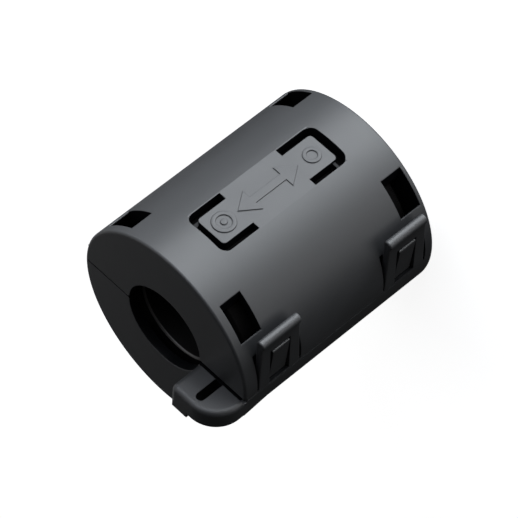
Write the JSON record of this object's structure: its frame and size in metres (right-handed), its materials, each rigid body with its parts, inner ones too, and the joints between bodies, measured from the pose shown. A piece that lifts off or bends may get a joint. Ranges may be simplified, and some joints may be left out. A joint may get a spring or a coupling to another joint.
{
  "type": "clip-on ferrite bead",
  "caption": "Round hinged plastic case with two ferrite half cores that clips round a cable, with snap latches and a tab for a cable tie.",
  "frame": {"origin": "on the axis of the cable hole, at the outer face of the plain end", "axes": "+Z along the cable hole, towards the end with the tie tab; +X towards the latches; +Y towards the cover, the shell with the spring tongues"},
  "size_m": [0.0312, 0.03, 0.0397],
  "materials": {
    "case": "moulded nylon with a fine dull texture, near black",
    "core": "fired ferrite, dark grey, ground smooth on the mating faces"
  },
  "bodies": {
    "base": {"base_shell": "case", "film_hinge": "case", "ferrite_half_lower": "core"},
    "cover": {"cover_shell": "case", "ferrite_half_upper": "core"},
    "latch_tab_end": {"latch_arm_tab_end": "case"},
    "latch_plain_end": {"latch_arm_plain_end": "case"}
  },
  "joints": [
    {"name": "cover_hinge", "type": "hinge", "parent": "base", "child": "cover", "pos_m": [-0.0155, -0.00005, 0.0172], "axis": [0, 0, 1], "range_deg": [0, 180], "deforming": ["film_hinge"]},
    {"name": "latch_tab_end_flex", "type": "hinge", "parent": "base", "child": "latch_tab_end", "pos_m": [0.015, -0.0001, 0.02828], "axis": [0, 0, -1], "range_deg": [0, 12], "stiffness_Nm_per_rad": 0.05},
    {"name": "latch_plain_end_flex", "type": "hinge", "parent": "base", "child": "latch_plain_end", "pos_m": [0.015, -0.0001, 0.00543], "axis": [0, 0, -1], "range_deg": [0, 12], "stiffness_Nm_per_rad": 0.05}
  ]
}
